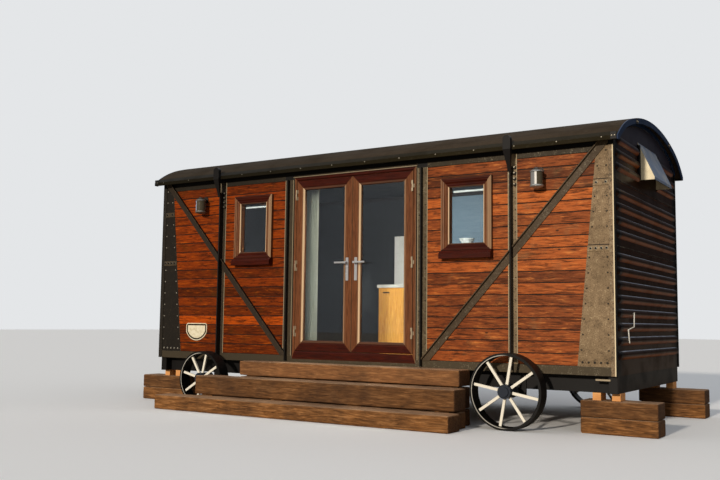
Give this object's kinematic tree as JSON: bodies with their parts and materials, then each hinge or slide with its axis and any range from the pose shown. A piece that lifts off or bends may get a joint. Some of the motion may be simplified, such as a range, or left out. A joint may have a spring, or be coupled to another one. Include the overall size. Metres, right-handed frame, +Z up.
{
  "type": "railway carriage cabin",
  "caption": "Cabin made from a railway goods van body: arched roof, boarded sides with steel framing, ribbed ends, French doors, windows, sleeper steps and wheels.",
  "frame": {"origin": "middle of the footprint on the ground", "axes": "+X along the body to the right as seen from the doors, +Y away from the doors, +Z up"},
  "size_m": [5.98, 3.2518, 2.8848],
  "materials": {
    "boards": "stained",
    "frame_steel": "weathered paint",
    "dark_steel": "matt paint",
    "end_steel": "satin paint",
    "hood_steel": "galvanised",
    "trim_steel": "satin paint",
    "roof_cover": "felted boards",
    "joinery": "satin stain",
    "glass": "clear",
    "fittings": "polished",
    "lamp_metal": "satin",
    "plate_enamel": "enamel",
    "wheel_iron": "painted",
    "sleeper": "weathered",
    "fresh_timber": "sawn",
    "floor_boards": "satin",
    "curtain_cloth": "soft",
    "oak": "satin",
    "worktop": "satin"
  },
  "bodies": {
    "cabin": {"floor": "floor_boards", "front_wall_left": "boards", "front_wall_right": "boards", "front_wall_over_door": "boards", "rear_wall": "boards", "end_walls": "floor_boards", "end_sheets": "end_steel", "vent_hoods": "hood_steel", "roof": "roof_cover", "fascias": "roof_cover", "arch_trims": "trim_steel", "stanchions": "frame_steel", "door_posts": "frame_steel", "wall_rails": "dark_steel", "corner_plates": "frame_steel", "corner_angles": "frame_steel", "braces": "frame_steel", "roof_straps": "dark_steel", "door_frame": "joinery", "door_hinge_jambs": "fittings", "window_frames": "joinery", "window_panes": "glass", "window_sills": "joinery", "lamps": "lamp_metal", "lamp_glasses": "glass", "number_plate": "plate_enamel", "solebars": "dark_steel", "headstocks": "dark_steel", "stub_axles": "dark_steel", "bearers": "sleeper", "packing_blocks": "fresh_timber", "step_bottom": "sleeper", "step_middle": "sleeper", "step_top": "sleeper", "step_packers": "sleeper", "curtain_rail": "dark_steel", "curtain": "curtain_cloth", "kitchen_unit": "oak", "worktop": "worktop", "wheels_left": "wheel_iron", "wheels_right": "wheel_iron"},
    "door_left": {"door_leaf_left": "joinery", "door_pane_left": "glass", "door_hinges_left": "fittings", "door_handle_plate_left": "fittings"},
    "lever_left": {"door_lever_left": "fittings"},
    "door_right": {"door_leaf_right": "joinery", "door_pane_right": "glass", "door_hinges_right": "fittings", "door_handle_plate_right": "fittings"},
    "lever_right": {"door_lever_right": "fittings"}
  },
  "joints": [
    {"name": "door_left_swing", "type": "hinge", "parent": "cabin", "child": "door_left", "pos_m": [-0.7055, -0.91905, 1.52], "axis": [0, 0, -1], "range_deg": [0, 120]},
    {"name": "lever_left_turn", "type": "hinge", "parent": "door_left", "child": "lever_left", "pos_m": [-0.0525, -0.90905, 1.536], "axis": [0, -1, 0], "range_deg": [0, 40], "stiffness_Nm_per_rad": 1, "springref_deg": -40.11},
    {"name": "door_right_swing", "type": "hinge", "parent": "cabin", "child": "door_right", "pos_m": [0.7055, -0.91905, 1.52], "axis": [0, 0, 1], "range_deg": [0, 120]},
    {"name": "lever_right_turn", "type": "hinge", "parent": "door_right", "child": "lever_right", "pos_m": [0.0525, -0.90905, 1.536], "axis": [0, 1, 0], "range_deg": [0, 40], "stiffness_Nm_per_rad": 1, "springref_deg": -40.11}
  ]
}
